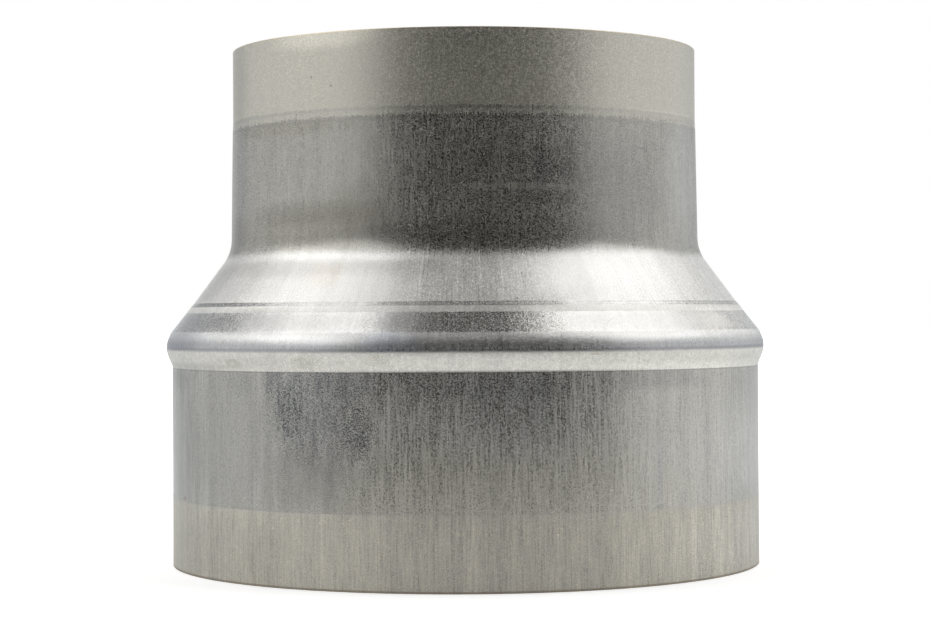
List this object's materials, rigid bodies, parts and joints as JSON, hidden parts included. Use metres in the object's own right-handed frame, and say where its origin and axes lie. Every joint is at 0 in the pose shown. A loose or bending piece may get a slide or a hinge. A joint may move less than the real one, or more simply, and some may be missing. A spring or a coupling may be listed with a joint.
{
  "type": "duct reducer",
  "caption": "Round pressed sheet-metal duct reducer: plain large spigot, rounded stop bead, tapered shoulder and plain small spigot, joining a large air duct to a smaller one.",
  "frame": {"origin": "centre of the large rim, in the plane that the reducer stands on", "axes": "+Z along the duct's axis, from the large spigot to the small one; the picture looks along +Y"},
  "size_m": [0.1264, 0.1264, 0.1078],
  "materials": {
    "bare_sheet": "bare galvanised sheet, drawn and ironed: dull and warm at both rims, brighter and streaked along the walls, bright on the shoulder"
  },
  "bodies": {
    "root": {"reducer_shell": "bare_sheet"}
  },
  "joints": []
}
